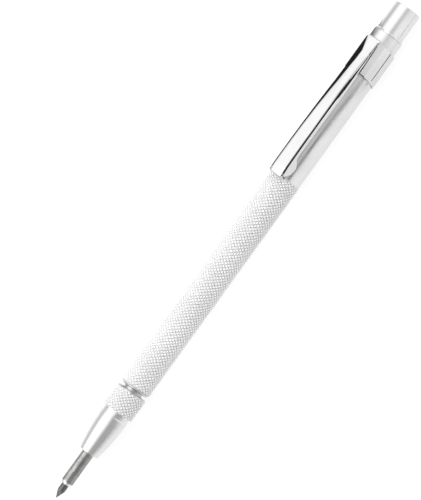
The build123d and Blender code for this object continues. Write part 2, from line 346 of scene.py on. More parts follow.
def shell(name, outer, inner):
    """Closed sheet between two grids of points with the same rows and columns."""
    rows, cols = outer.shape[:2]
    verts = np.concatenate([outer.reshape(-1, 3), inner.reshape(-1, 3)])
    base = rows * cols

    def at(i, j):
        return i * cols + j

    faces = []
    for i in range(rows - 1):
        for j in range(cols - 1):
            quad = (at(i, j), at(i, j + 1), at(i + 1, j + 1), at(i + 1, j))
            faces.append(quad)
            faces.append(tuple(base + v for v in reversed(quad)))
    rim = [at(0, j) for j in range(cols)]
    rim += [at(i, cols - 1) for i in range(1, rows)]
    rim += [at(rows - 1, j) for j in range(cols - 2, -1, -1)]
    rim += [at(i, 0) for i in range(rows - 2, 0, -1)]
    for v, w in zip(rim, rim[1:] + rim[:1]):
        faces.append((w, v, base + v, base + w))
    return mesh_object(name, verts, faces)


def soften_edges(obj, width, sharper_than):
    """Small rolled edge along the sheet's cut edges, applied to the mesh."""
    bevel = obj.modifiers.new("edge", "BEVEL")
    bevel.width = width * MM
    bevel.segments = 2
    bevel.limit_method = "ANGLE"
    bevel.angle_limit = math.radians(sharper_than)
    bevel.use_clamp_overlap = True
    graph = bpy.context.evaluated_depsgraph_get()
    mesh = bpy.data.meshes.new_from_object(obj.evaluated_get(graph))
    obj.modifiers.clear()
    obj.data = mesh
    mesh.shade_smooth()
    mesh.set_sharp_from_angle(angle=SHARP)


# ---------------------------------------------------------------- knurls and threads


def capped(rows, envelope):
    """Limits each row's radius to a chamfered envelope given as (station, radius) points."""
    return [(s, np.minimum(r, follow(envelope, s))) for s, r in rows]


def follow(profile, station):
    """Value at a station, or at each of several, of a list of (station, value) points."""
    return np.interp(station, *zip(*profile))


def knurl_rows(start, end):
    """Rows of a diamond knurl: two families of helical V grooves."""
    count = round((end - start) * KNURL_STEPS / KNURL_PITCH)
    around = turns(SIDES) * KNURL_STARTS / (2 * math.pi)
    rows = []
    for i in range(count + 1):
        along = i / KNURL_STEPS
        left = np.abs(around + along - np.round(around + along))
        right = np.abs(around - along - np.round(around - along))
        rise = np.minimum(np.minimum(left, right) / KNURL_FLANK, 1)
        rows.append((start + (end - start) * i / count, GRIP_RADIUS - KNURL_DEPTH * (1 - rise)))
    return rows


def knurled_zone(start, end, front_chamfer, rear_length, rear_drop, lead_in=0.0):
    """Knurl with a 45-degree chamfer in front and its own chamfer behind."""
    envelope = [
        (start, GRIP_RADIUS - front_chamfer),
        (start + front_chamfer, GRIP_RADIUS),
        (end - rear_length, GRIP_RADIUS),
        (end, GRIP_RADIUS - rear_drop),
    ]
    return capped(knurl_rows(start + lead_in, end), envelope)


def thread_rows(start, end):
    """Rows of a right-hand helical V thread."""
    count = round((end - start) * THREAD_STEPS / THREAD_PITCH)
    turn = turns(SIDES) / (2 * math.pi)
    rows = []
    for i in range(count + 1):
        along = start + (end - start) * i / count
        phase = along / THREAD_PITCH - turn
        off_crest = np.abs(phase - np.round(phase)) * 2
        cut = np.clip((off_crest - THREAD_CREST) / THREAD_FLANK, 0, 1)
        rows.append((along, THREAD_RADIUS - THREAD_DEPTH * cut))
    return rows


def external_thread(front, lead_in, end, end_radius):
    """Thread with a chamfered front that fades out over its last turn."""
    envelope = [
        (front, THREAD_ROOT),
        (front + THREAD_DEPTH, THREAD_RADIUS),
        (end - THREAD_PITCH, THREAD_RADIUS),
        (end, end_radius),
    ]
    return capped(thread_rows(front + lead_in, end), envelope)


# ---------------------------------------------------------------- node helpers


def grey(level):
    return (level, level, level)


def new_material(name):
    material = bpy.data.materials.new(name)
    material.use_nodes = True
    tree = material.node_tree
    shader = tree.nodes["Principled BSDF"]
    return material, tree, shader


def node(tree, kind, **settings):
    made = tree.nodes.new(kind)
    for key, value in settings.items():
        setattr(made, key, value)
    return made


def feed(tree, socket, value):
    """Gives a socket its value: another node's socket, a number, or a colour."""
    if isinstance(value, bpy.types.NodeSocket):
        tree.links.new(value, socket)
    elif isinstance(value, tuple):
        socket.default_value = (*value, 1)
    else:
        socket.default_value = value


def arithmetic(tree, operation, first, second):
    """Math node on two sockets or numbers."""
    made = node(tree, "ShaderNodeMath", operation=operation)
    feed(tree, made.inputs[0], first)
    feed(tree, made.inputs[1], second)
    return made.outputs["Value"]


def add(tree, first, second):
    return arithmetic(tree, "ADD", first, second)


def times(tree, first, second):
    return arithmetic(tree, "MULTIPLY", first, second)


def mix(tree, factor, first, second, data_type="RGBA", blend_type="MIX"):
    made = node(tree, "ShaderNodeMix", data_type=data_type, blend_type=blend_type)
    feed(tree, made.inputs["Factor"], factor)
    feed(tree, made.inputs["A"], first)
    feed(tree, made.inputs["B"], second)
    return made.outputs["Result"]


def spread(tree, value, low, high, from_low=0.3, from_high=0.7):
    """Maps a value, a texture's by default, to a range of numbers."""
    made = node(tree, "ShaderNodeMapRange")
    feed(tree, made.inputs["Value"], value)
    feed(tree, made.inputs["From Min"], from_low)
    feed(tree, made.inputs["From Max"], from_high)
    feed(tree, made.inputs["To Min"], low)
    feed(tree, made.inputs["To Max"], high)
    return made.outputs["Result"]


def object_axes(tree):
    """X, Y and Z of the point on the object, in metres."""
    coords = node(tree, "ShaderNodeTexCoord")
    split = node(tree, "ShaderNodeSeparateXYZ")
    tree.links.new(coords.outputs["Object"], split.inputs["Vector"])
    return split.outputs


def noise(tree, grain, detail=4.0):
    """Noise that is finer along the axes whose grain is larger."""
    coords = node(tree, "ShaderNodeTexCoord")
    mapping = node(tree, "ShaderNodeMapping")
    mapping.inputs["Scale"].default_value = grain
    tree.links.new(coords.outputs["Object"], mapping.inputs["Vector"])
    made = node(tree, "ShaderNodeTexNoise")
    tree.links.new(mapping.outputs["Vector"], made.inputs["Vector"])
    made.inputs["Scale"].default_value = 1.0
    made.inputs["Detail"].default_value = detail
    made.inputs["Roughness"].default_value = 0.55
    return made.outputs["Fac"]


def mottled(tree, texture, first, second):
    """Colour that wanders between two by a texture."""
    return mix(tree, spread(tree, texture, 0, 1), first, second)


def bump(tree, shader, height, depth, strength):
    """Relief of a texture; depth in millimetres."""
    made = node(tree, "ShaderNodeBump")
    made.inputs["Distance"].default_value = depth * MM
    made.inputs["Strength"].default_value = strength
    tree.links.new(height, made.inputs["Height"])
    tree.links.new(made.outputs["Normal"], shader.inputs["Normal"])


def axis_distance(tree):
    """Distance from the tool's axis, in millimetres."""
    axes = object_axes(tree)
    across = node(tree, "ShaderNodeCombineXYZ")
    feed(tree, across.inputs["Y"], axes["Y"])
    feed(tree, across.inputs["Z"], arithmetic(tree, "SUBTRACT", axes["Z"], AXIS_Z))
    length = node(tree, "ShaderNodeVectorMath", operation="LENGTH")
    tree.links.new(across.outputs["Vector"], length.inputs[0])
    return times(tree, length.outputs["Value"], 1 / MM)


def between(tree, start, end):
    """1 between two stations, 0 outside, with soft ends."""
    soft = 0.05 * MM
    x = object_axes(tree)["X"]
    rise = spread(tree, x, 0, 1, place(start) - soft, place(start) + soft)
    fall = spread(tree, x, 1, 0, place(end) - soft, place(end) + soft)
    return times(tree, rise, fall)


# ---------------------------------------------------------------- materials


def knurled_finish_with_painted_light_and_shade(tree, colour, roughness, groove_shade_colour, start, end, knurl_light):
    """Colour and roughness with a knurled zone: rough, brightened by painted light, with painted shade in
    its grooves.

    The painted shade in the grooves is weaker on the side away from the front.
    """
    zone = between(tree, start, end)
    groove_top = GRIP_RADIUS - 0.25 * KNURL_DEPTH
    depth = spread(tree, axis_distance(tree), 1, 0, GRIP_RADIUS - KNURL_DEPTH, groove_top)
    shade_by_side = spread(tree, object_axes(tree)["Y"], 1, FAR_SIDE_GROOVE_SHADE, -1.0 * MM, 1.5 * MM)
    # painted shade in the grooves, weaker on the side away from the front
    groove_shade_mask = times(tree, times(tree, depth, zone), shade_by_side)
    groove_shaded = mix(tree, groove_shade_mask, colour, tuple(c * GROOVE_SHADE_TONE for c in groove_shade_colour))
    # painted light: the knurled zone's colour is multiplied up to stand in for the light on it
    bright = mix(tree, zone, groove_shaded, grey(knurl_light), blend_type="MULTIPLY")
    return bright, mix(tree, zone, roughness, KNURL_ROUGHNESS, data_type="FLOAT")


def turned_metal(name, light, dark, rough, ring_depth, knurl=None, neck_shade=None):
    """Metal from a lathe: fine rings round the axis, faint long streaks, uneven polish.

    knurl, if given, is (first station, last station, how far painted light brightens the colour) of a
    knurled zone.
    The last argument, if given, is (first station, last station) of a neck darkened with painted shade
    where two parts meet.
    """
    material, tree, shader = new_material(name)
    rings = noise(tree, RING_GRAIN, detail=3)
    streaks = noise(tree, STREAK_GRAIN, detail=3)
    cloud = noise(tree, (160, 160, 160))
    colour = mottled(tree, cloud, light, dark)
    uneven = spread(tree, cloud, rough - 0.03, rough + 0.05)
    roughness = add(tree, spread(tree, streaks, -0.04, 0.04), uneven)
    if knurl:
        colour, roughness = knurled_finish_with_painted_light_and_shade(tree, colour, roughness, dark, *knurl)
    # painted shade on the neck where two parts meet
    if neck_shade:
        colour = mix(tree, between(tree, *neck_shade), colour, grey(NECK_SHADE_TONE), blend_type="MULTIPLY")
    tree.links.new(colour, shader.inputs["Base Color"])
    shader.inputs["Metallic"].default_value = 1.0
    tree.links.new(roughness, shader.inputs["Roughness"])
    bump(tree, shader, rings, ring_depth, 0.35)
    return material


def barrel_aluminium():
    knurl = (33.4, GRIP_REAR, BARREL_KNURL_PAINTED_LIGHT)
    neck_shade = (31.0, 33.1)
    light, dark = (0.73, 0.73, 0.735), (0.69, 0.69, 0.695)
    return turned_metal("barrel_aluminium_with_painted_light_and_shade", light, dark, 0.32, 0.006, knurl, neck_shade)


def nose_aluminium():
    knurl = (NOSE_KNURL_START, NOSE_END - 0.4, NOSE_KNURL_PAINTED_LIGHT)
    neck_shade = (NOSE_END - 0.35, NOSE_END + 0.2)
    light, dark = (0.75, 0.75, 0.755), (0.71, 0.71, 0.715)
    return turned_metal("nose_aluminium_with_painted_light_and_shade", light, dark, 0.2, 0.004, knurl, neck_shade)


def cap_aluminium():
    light, dark = (0.74, 0.74, 0.745), (0.70, 0.70, 0.705)
    return turned_metal("cap_aluminium_finish", light, dark, 0.22, 0.003)


def collet_brass():
    light, dark = (0.78, 0.60, 0.30), (0.66, 0.49, 0.23)
    return turned_metal("collet_brass_finish", light, dark, 0.25, 0.004)


def chrome_plate():
    """Plated sheet: nearly a mirror, with fine polishing hairs along it and a faint waviness."""
    material, tree, shader = new_material("chrome_plate")
    wave = noise(tree, (120, 300, 300), detail=2)
    hair = noise(tree, (300, 9000, 9000), detail=2)
    cloud = noise(tree, (500, 500, 500))
    colour = mottled(tree, cloud, (0.67, 0.67, 0.675), (0.64, 0.64, 0.645))
    tree.links.new(colour, shader.inputs["Base Color"])
    shader.inputs["Metallic"].default_value = 1.0
    tree.links.new(spread(tree, hair, 0.04, 0.11), shader.inputs["Roughness"])
    bump(tree, shader, wave, 0.02, 0.3)
    return material


def ground_steel():
    """Shank: ground lengthwise, with darker patches of wear and a painted highlight on the chamfer in
    front.
    """
    material, tree, shader = new_material("ground_steel")
    lines = noise(tree, (250, 5200, 5200), detail=5)
    patches = noise(tree, (700, 1300, 1300))
    shade = add(tree, spread(tree, patches, 0, 0.6), spread(tree, lines, 0, 0.4))
    colour = mix(tree, shade, (0.43, 0.427, 0.42), (0.19, 0.188, 0.185))
    # painted highlight: the front chamfer is lighter in colour
    colour = mix(tree, between(tree, 0, CHAMFER_HIGHLIGHT_END), colour, (0.75, 0.75, 0.745))
    tree.links.new(colour, shader.inputs["Base Color"])
    shader.inputs["Metallic"].default_value = 1.0
    tree.links.new(spread(tree, lines, 0.16, 0.32), shader.inputs["Roughness"])
    bump(tree, shader, lines, 0.03, 0.9)
    return material


def sintered_carbide():
    """Dark fine grain with grinding scratches along the point."""
    material, tree, shader = new_material("sintered_carbide")
    grain = noise(tree, (6000, 6000, 6000), detail=5)
    scratches = noise(tree, (900, 5200, 5200), detail=3)
    colour = mottled(tree, grain, (0.20, 0.198, 0.195), (0.075, 0.074, 0.073))
    tree.links.new(colour, shader.inputs["Base Color"])
    shader.inputs["Metallic"].default_value = 0.9
    tree.links.new(spread(tree, scratches, 0.2, 0.34), shader.inputs["Roughness"])
    bump(tree, shader, grain, 0.03, 0.8)
    return material


def nickel_plate():
    """The magnet's plating: warm, satin and a little cloudy."""
    material, tree, shader = new_material("nickel_plate")
    cloud = noise(tree, (900, 900, 900))
    colour = mottled(tree, cloud, (0.72, 0.70, 0.66), (0.60, 0.585, 0.56))
    tree.links.new(colour, shader.inputs["Base Color"])
    shader.inputs["Metallic"].default_value = 1.0
    tree.links.new(spread(tree, cloud, 0.22, 0.34), shader.inputs["Roughness"])
    bump(tree, shader, cloud, 0.01, 0.4)
    return material


def matt(name, roughness):
    """Material of the stage, without any shine."""
    material, tree, shader = new_material(name)
    shader.inputs["Roughness"].default_value = roughness
    shader.inputs["Specular IOR Level"].default_value = 0.0
    return material, tree, shader


def floor_paint():
    """Pale sheet lit from below, as on a light table: most of its brightness is its own glow."""
    material, tree, shader = matt("floor_paint", 0.9)
    cloud = noise(tree, (8, 8, 8))
    tree.links.new(mottled(tree, cloud, grey(0.2), grey(0.19)), shader.inputs["Base Color"])
    shader.inputs["Emission Color"].default_value = (1, 1, 1, 1)
    shader.inputs["Emission Strength"].default_value = 0.86
    return material


def black_card():
    material, tree, shader = matt("black_card", 1.0)
    cloud = noise(tree, (50, 50, 50))
    tree.links.new(mottled(tree, cloud, grey(0.02), grey(0.03)), shader.inputs["Base Color"])
    return material


def grey_card():
    """Pale near the tool and greyer further off."""
    material, tree, shader = matt("grey_card", 1.0)
    near = spread(tree, object_axes(tree)["Y"], 0, 1, -42 * MM, -9 * MM)
    tree.links.new(mix(tree, near, grey(0.5), grey(0.8)), shader.inputs["Base Color"])
    return material


# ---------------------------------------------------------------- turned pieces


def make_barrel():
    """From the neck's mouth over the outside to the tail, and back through the bores."""
    outline = [(NECK_START, NECK_BORE), (NECK_START, THREAD_ROOT)]
    outline += external_thread(NECK_START, 0.15, NECK_THREAD_END, THREAD_ROOT)
    shoulder = [
        (NECK_THREAD_END + 0.1, NECK_CORE, 0),
        (GRIP_FRONT, NECK_CORE, 0.08),
        (GRIP_FRONT, GRIP_FRONT_RADIUS, 0.06),
        (GRIP_START, GRIP_RADIUS, 0),
    ]
    outline += rounded(shoulder)[:-1]
    knurl_front = 0.1
    outline += knurled_zone(
        GRIP_START - knurl_front, GRIP_REAR, front_chamfer=knurl_front, rear_length=0.25, rear_drop=0.12
    )
    outline += rounded(
        [
            (GRIP_REAR + 0.05, GRIP_RADIUS - 0.08, 0),
            (GRIP_REAR + 0.12, GRIP_RADIUS - 0.1, 0.03),
            (GRIP_REAR + 0.3, PLAIN_RADIUS, 0.06),
            (BARREL_END, PLAIN_RADIUS, 0.14),
            (BARREL_END, THREAD_BORE, 0.1),
            (TAIL_THREAD_START, THREAD_BORE, 0),
        ]
    )
    neck_bore_end = NECK_START + NECK_BORE_LENGTH
    outline += [
        (TAIL_THREAD_START, STORE_RADIUS),
        (STORE_START, STORE_RADIUS),
        (STORE_START - STORE_TAPER, POINT_BORE),
        (neck_bore_end, POINT_BORE),
        (neck_bore_end, NECK_BORE),
    ]
    return lathe("barrel_body", outline)


def make_nose_nut():
    """From the mouth over the ogive, the ring and the knurl, and back through the thread and seat."""
    ring_front = RING_START - RING_EDGE
    ogive = arc_rows((NOSE_START + 0.1, NOSE_LIP), NOSE_ARC_MIDDLE, (ring_front, RING_TOP), 28)
    outline = rounded(
        [
            (NOSE_START + 0.4, NOSE_MOUTH, 0),
            (NOSE_START + NOSE_MOUTH_CHAMFER, NOSE_MOUTH, 0.03),
            (NOSE_START, NOSE_MOUTH + NOSE_MOUTH_CHAMFER, 0.03),
            (NOSE_START, NOSE_LIP - 0.02, 0.12),
            (*ogive[1], 0),
        ]
    )
    outline += ogive[2:-1]
    outline += rounded(
        [
            (*ogive[-2], 0),
            (ring_front, RING_TOP, 0.05),
            (RING_START, RING_LOW, 0.03),
            (NOSE_KNURL_START, RING_LOW, 0.03),
            (NOSE_KNURL_START, GRIP_RADIUS - 0.15, 0),
        ]
    )[1:]
    outline += knurled_zone(
        NOSE_KNURL_START, NOSE_KNURL_END, front_chamfer=0.15, rear_length=0.1, rear_drop=0.1, lead_in=0.01
    )
    outline += rounded(
        [
            (NOSE_KNURL_END + 0.04, GRIP_RADIUS - 0.12, 0),
            (NOSE_END, NOSE_REAR_RADIUS, 0.08),
            (NOSE_END, THREAD_BORE + 0.15, 0),
            (NOSE_END - 0.15, THREAD_BORE, 0),
        ]
    )
    outline += [
        (NOSE_THREAD_START, THREAD_BORE),
        (NOSE_THREAD_START, NOSE_SEAT_RADIUS),
        (NOSE_SEAT[1], NOSE_SEAT_RADIUS),
        (NOSE_SEAT[0], NOSE_MOUTH),
    ]
    return lathe("nose_nut_body", outline)


def make_point_shank():
    """Shank with faint ground facets along it and an open socket at the front for the carbide.

    A lathe section needs a bore, so behind the socket there is a pinhole 0.1 mm across.
    """
    facets = np.abs(((np.arange(FINE_SIDES) / FINE_SIDES * SHANK_FACETS + 0.2) % 1) - 0.5) * 2
    ground = SHANK_RADIUS - SHANK_FACET_DEPTH * (1 - facets) ** 2
    socket = CARBIDE_RADIUS + BRAZE_GAP
    socket_end = CARBIDE_END + BRAZE_GAP
    edge, rear_chamfer, pinhole = 0.04, 0.3, 0.05
    outline = [
        (SHANK_START, socket),
        (SHANK_START, SHANK_FRONT_RADIUS - edge),
        (SHANK_START + edge, SHANK_FRONT_RADIUS),
        (CHAMFER_END - 0.05, SHANK_RADIUS - edge),
        (CHAMFER_END + 0.1, SHANK_RADIUS - 0.005),
        (CHAMFER_END + 0.5, ground),
        (NOSE_START - 0.5, ground),
        (NOSE_START - 0.25, SHANK_RADIUS - 0.01),
        (SHANK_END - rear_chamfer, SHANK_RADIUS),
        (SHANK_END, SHANK_RADIUS - rear_chamfer),
        (SHANK_END, pinhole),
        (socket_end, pinhole),
        (socket_end, socket),
    ]
    return lathe("point_shank_body", outline, sides=FINE_SIDES)


def make_carbide():
    """Brazed rod: round where it leaves the shank, ground to a four-sided point with a tiny flat."""
    face_width = 2 * math.pi / CONE_FACES
    wedge = (turns(FINE_SIDES) + CONE_FACE_TURN) % face_width - face_width / 2
    flat = CONE_FACE_SHARE / np.cos(wedge)
    steps = 16
    rows = []
    for i in range(steps + 1):
        along = i / steps * (CONE_END + 0.35)
        cone = CONE_TIP_RADIUS + (CARBIDE_RADIUS - CONE_TIP_RADIUS) * along / CONE_END
        rows.append((along, np.minimum(cone * flat, CARBIDE_RADIUS)))
    rows.append((CONE_END + 0.45, CARBIDE_RADIUS))
    rows.append((CARBIDE_END, CARBIDE_RADIUS))
    return solid_lathe("carbide_point", rows, FINE_SIDES)


def make_tail_cap():
    """From the spigot over its thread, the flared foot and the rim, and back through the pocket."""
    thread_end = BARREL_END - CAP_RELIEF_LENGTH
    pocket = MAGNET_RADIUS + GLUE_GAP
    pocket_floor = MAGNET_START - GLUE_GAP
    base = BARREL_END + CAP_SEAM
    outline = [(CAP_SPIGOT_FRONT, CAP_SPIGOT_BORE), (CAP_SPIGOT_FRONT, THREAD_ROOT)]
    outline += external_thread(CAP_SPIGOT_FRONT, 0.1, thread_end, CAP_RELIEF)
    outline += rounded(
        [
            (thread_end + 0.1, CAP_RELIEF, 0),
            (base, CAP_RELIEF, 0.05),
            (base, CAP_FOOT_RADIUS, 0.04),
            (base + 0.12, CAP_FOOT_RADIUS, 0.05),
            (base + CAP_FOOT_HEIGHT, CAP_RADIUS, 0.5),
            (LENGTH, CAP_RADIUS, CAP_EDGE),
            (LENGTH, pocket + 0.1, 0),
            (LENGTH - 0.1, pocket, 0),
            (pocket_floor, pocket, 0),
            (pocket_floor, CAP_SPIGOT_BORE, 0),
        ]
    )
    return lathe("tail_cap_body", outline)


def make_magnet():
    rows = [
        (MAGNET_START, MAGNET_RADIUS - MAGNET_EDGE),
        (MAGNET_START + MAGNET_EDGE, MAGNET_RADIUS),
        (LENGTH - MAGNET_EDGE, MAGNET_RADIUS),
        (LENGTH - 0.3 * MAGNET_EDGE, MAGNET_RADIUS - 0.3 * MAGNET_EDGE),
        (LENGTH, MAGNET_RADIUS - MAGNET_EDGE),
    ]
    return solid_lathe("tail_magnet_disc", rows, FINE_SIDES)


# ---------------------------------------------------------------- pocket clip


def band_corners(inset):
    """Half the twelve-sided band's corners (y, height), from the seam underneath up to the top."""
    flat = BAND_FLAT - inset
    corner = flat / math.cos(math.radians(15))
    half = [(BAND_SEAM / 2, -flat)]
    for angle in BAND_CORNERS:
        turn = math.radians(angle)
        half.append((corner * math.sin(turn), corner * math.cos(turn)))
    half.append((BAND_TOP_HALF_WIDTH - BAND_TOP_INSET * inset, flat))
    return half


def band_grid(inset, bend):
    half = [(y, h, bend * share) for (y, h), share in zip(band_corners(inset), BAND_BEND_SHARES)]
    section = rounded(half + [(-y, h, b) for y, h, b in reversed(half)])
    grid = []
    for share in BAND_ROWS:
        station = BAND_FRONT + share * (BAND_END - BAND_FRONT)
        grid.append([(station + BAND_SKEW * (h - BAND_FLAT), y, h) for y, h in section])
    return np.array(grid)


def make_band():
    obj = shell("clip_band_sheet", band_grid(0, BAND_BEND), band_grid(SHEET, BAND_INNER_BEND))
    soften_edges(obj, 0.07, 50)
    return obj


# One row across the tongue: its station and height, the direction its face looks in (degrees from
# +X), half the face's flat width, half the width to the corner, the face's tilt towards the corner
# and the side wall's (degrees), then the bend, facet, facet's turn and wall length as above.
Row = namedtuple("Row", "station height looking flat corner tilt wall_tilt bend facet facet_turn wall")


def smooth_step(value):
    value = min(max(value, 0.0), 1.0)
    return value * value * (3 - 2 * value)


def smoothed(values):
    """Running average that rounds the profile's corners."""
    kernel = (0.06, 0.24, 0.4, 0.24, 0.06)
    return np.convolve(np.pad(values, 2, mode="edge"), kernel, mode="valid")


def lip_rows(first_height):
    """Rolled lip at the tongue's free end."""
    rows = []
    lowest, highest = 168, 112
    for turn in (lowest, 150, 130, highest):
        a = math.radians(turn)
        rows.append(
            Row(
                station=TONGUE_LIP + LIP_RADIUS * math.cos(a),
                height=first_height - LIP_RADIUS + LIP_RADIUS * math.sin(a),
                looking=turn,
                flat=1.75,
                corner=1.98,
                tilt=TONGUE_TILT,
                wall_tilt=60.0,
                bend=0.35,
                facet=0.1,
                facet_turn=FRONT_FACET_TURN,
                wall=0.5 + 0.25 * (lowest - turn) / (lowest - highest),
            )
        )
    return rows


def blade_rows():
    """The tongue from its lip to the fold, closer together at the ears and near the fold."""
    ears = np.arange(TONGUE_LIP, 103.2, 0.12)
    middle = np.arange(103.4, 124.0, 0.8)
    rear = np.arange(124.2, FOLD, 0.2)
    stops = np.concatenate([ears, middle, rear, [FOLD]])
    height = smoothed(follow(TONGUE_CREST, stops))
    height[-1] = TONGUE_CREST[-1][1]
    slope = np.gradient(height, stops)
    slope[-1] = 0
    rows = []
    for i, s in enumerate(stops):
        corner = TONGUE_FOLD_HALF_WIDTH + TONGUE_WIDENING * (FOLD - s)
        near_fold = smooth_step((FOLD - s) / 0.6)
        bend = follow(TONGUE_BEND, s)
        facet = follow(TONGUE_FACET, s)
        if s >= TONGUE_APEX:
            flat = corner * (s - TONGUE_APEX) / (FOLD - TONGUE_APEX)
        else:
            flat = corner - follow(TONGUE_SHOULDER, s) - 0.51 * bend - 0.4 * facet
        rows.append(
            Row(
                station=s,
                height=height[i],
                looking=90 + math.degrees(math.atan(slope[i])),
                flat=min(max(flat, 0.12), corner - 0.2),
                corner=corner,
                tilt=TONGUE_TILT * near_fold,
                wall_tilt=(90 - TONGUE_SPLAY) * near_fold,
                bend=bend,
                facet=facet,
                facet_turn=follow(TONGUE_FACET_TURN, s),
                wall=follow(TONGUE_WALL, s),
            )
        )
    return rows


def fold_rows():
    """The fold: a half turn back onto the band."""
    centre = BAND_FLAT + FOLD_GAP / 2
    radius = SHEET + FOLD_GAP / 2
    rows = []
    for turn in range(70, -91, -20):
        a = math.radians(turn)
        rows.append(
            Row(
                station=FOLD + radius * math.cos(a),
                height=centre + radius * math.sin(a),
                looking=turn,
                flat=1.6,
                corner=1.73,
                tilt=0.0,
                wall_tilt=0.0,
                bend=0.14,
                facet=0.05,
                facet_turn=0.5,
                wall=0.2,
            )
        )
    return rows


def half_section(row, inset):
    """Points (y, depth below the face) from the middle of the face to the edge of the side wall.

    The bend into the wall is two arcs with a short straight facet between them.
    """
    a1, a2 = math.radians(row.tilt), math.radians(row.wall_tilt)
    middle = a1 + row.facet_turn * (a2 - a1)

    def normal(a):
        return Vector((math.sin(a), math.cos(a)))

    def along(a):
        return Vector((math.cos(a), -math.sin(a)))

    n0, n1, n2 = normal(0), normal(a1), normal(a2)
    shoulder = Vector((row.flat, 0)) - (n0 + n1) * (inset / (1 + n0.dot(n1)))
    edge = Vector((row.corner, -(row.corner - row.flat) * math.tan(a1)))
    foot = edge + along(a2) * row.wall - n2 * inset
    radius = max(row.bend - inset, 0.04)
    points = [Vector((shoulder.x * t, -inset)) for t in (0, 0.35, 0.7, 1.0)]
    if row.wall_tilt < 1:
        flat_points = 15
        return points + [points[-1].lerp(foot, (k + 1) / flat_points) for k in range(flat_points)]
    edge = edge - (n1 + n2) * (inset / (1 + n1.dot(n2)))
    span = (n2 - n1) * radius + along(middle) * row.facet
    turn = along(a1).x * along(a2).y - along(a1).y * along(a2).x
    before = (span.x * along(a2).y - span.y * along(a2).x) / turn
    start = edge - along(a1) * before
    points += [shoulder.lerp(start, t) for t in (0.33, 0.66)]
    centre = start - n1 * radius
    points += [centre + normal(a1 + (middle - a1) * k / 4) * radius for k in range(5)]
    centre += along(middle) * row.facet
    points += [centre + normal(middle + (a2 - middle) * k / 4) * radius for k in range(5)]
    last = points[-1]
    return points + [last.lerp(foot, t) for t in (0.34, 0.67, 1.0)]


def tongue_grid(rows, inset):
    """Points across each row, the face arched a little between its shoulders."""
    grid = []
    for row in rows:
        a = math.radians(row.looking)
        up = Vector((math.cos(a), math.sin(a)))
        half = half_section(row, inset)
        crown = TONGUE_CROWN * min(row.flat, 1.0)
        across = [(-p.x, p.y) for p in reversed(half[1:])] + [(p.x, p.y) for p in half]
        line = []
        for y, depth in across:
            lift = depth + crown * (1 - min((y / row.flat) ** 2, 1.0))
            line.append((row.station + up.x * lift, -y, row.height + up.y * lift))
        grid.append(line)
    return np.array(grid)


def make_tongue():
    blade = blade_rows()
    rows = lip_rows(blade[0].height) + blade + fold_rows()
    obj = shell("clip_tongue_sheet", tongue_grid(rows, 0), tongue_grid(rows, SHEET))
    soften_edges(obj, 0.06, 55)
    return obj


# ---------------------------------------------------------------- stage


def make_camera():
    """Looks down at the tool from the front, rolled so that the tool rises to the right."""
    forward = Vector((0, math.cos(VIEW_ELEVATION), -math.sin(VIEW_ELEVATION)))
    lift = Vector((0, math.sin(VIEW_ELEVATION), math.cos(VIEW_ELEVATION)))
    tool = Vector((1, 0, 0))
    right = tool * math.cos(VIEW_ROLL) - lift * math.sin(VIEW_ROLL)
    up = tool * math.sin(VIEW_ROLL) + lift * math.cos(VIEW_ROLL)
    target = Vector((place(AIM_STATION), 0, AXIS_Z)) + lift * AIM_ACROSS * MM
    turn = Matrix((right, up, -forward)).transposed().to_4x4()
    data = bpy.data.cameras.new("camera")
    data.sensor_fit = "VERTICAL"
    data.sensor_height = SENSOR
    data.lens = VIEW_SCALE / MM * VIEW_DISTANCE / FRAME_HEIGHT * SENSOR
    data.clip_start = 0.01
    data.clip_end = 50
    camera = bpy.data.objects.new("camera", data)
    camera.matrix_world = Matrix.Translation(target - forward * VIEW_DISTANCE) @ turn
    bpy.context.scene.collection.objects.link(camera)
    bpy.context.scene.camera = camera


def stage_object(name, verts, faces, material):
    mesh = bpy.data.meshes.new(name)
    mesh.from_pydata(verts, [], faces)
    mesh.materials.append(material)
    obj = bpy.data.objects.new(name, mesh)
    bpy.context.scene.collection.objects.link(obj)
    return obj


def make_floor():
    size, drop = 4.0, -0.00002
    corners = [(-size, -size, drop), (size, -size, drop), (size, size, drop), (-size, size, drop)]
    stage_object("floor", corners, [(0, 1, 2, 3)], floor_paint())


def make_card(name, material, reach, section):
    """Card along the tool that shows only in reflections.

    reach is its first and last station, and section its (y, height above the floor) points.
    """
    verts = []
    for y, z in section:
        verts += [(place(station), y * MM, z * MM) for station in reach]
    faces = [(2 * i, 2 * i + 1, 2 * i + 3, 2 * i + 2) for i in range(len(section) - 1)]
    card = stage_object(name, verts, faces, material)
    card.visible_camera = False
    card.visible_diffuse = False
    card.visible_shadow = False


def around(first, last, steps=8):
    """Section of a card bent round the clip; angles from straight up, towards the front."""
    points = []
    for i in range(steps + 1):
        turn = math.radians(first + (last - first) * i / steps)
        height = AXIS_Z / MM + BAND_FLAT + FLAG_DISTANCE * math.cos(turn)
        points.append((-FLAG_DISTANCE * math.sin(turn), height))
    return points


def make_cards():
    """Two cards bent round the clip, given by their angles, and four given by their sections."""
    black = black_card()
    make_card("front_flag", black, FRONT_FLAG[0], around(*FRONT_FLAG[1]))
    make_card("band_flag", black, BAND_FLAG[0], around(*BAND_FLAG[1]))
    make_card("bend_card", black, *BEND_CARD)
    make_card("cap_card", black, *CAP_CARD)
    make_card("nose_card", grey_card(), *NOSE_CARD)
    make_card("back_flag", black, *BACK_FLAG)


# ---------------------------------------------------------------- studio light


# Light by the angle round the tool: degrees from straight up towards the front, brightness
STUDIO = [
    (-180, 1.0),
    (-112, 0.95),
    (-95, 0.74),
    (-66, 0.74),
    (-53, 1.0),
    (-40, 1.45),
    (6, 1.45),
    (26, 1.05),
    (60, 1.03),
    (84, 1.03),
    (98, 1.0),
    (112, 1.0),
    (180, 1.0),
]


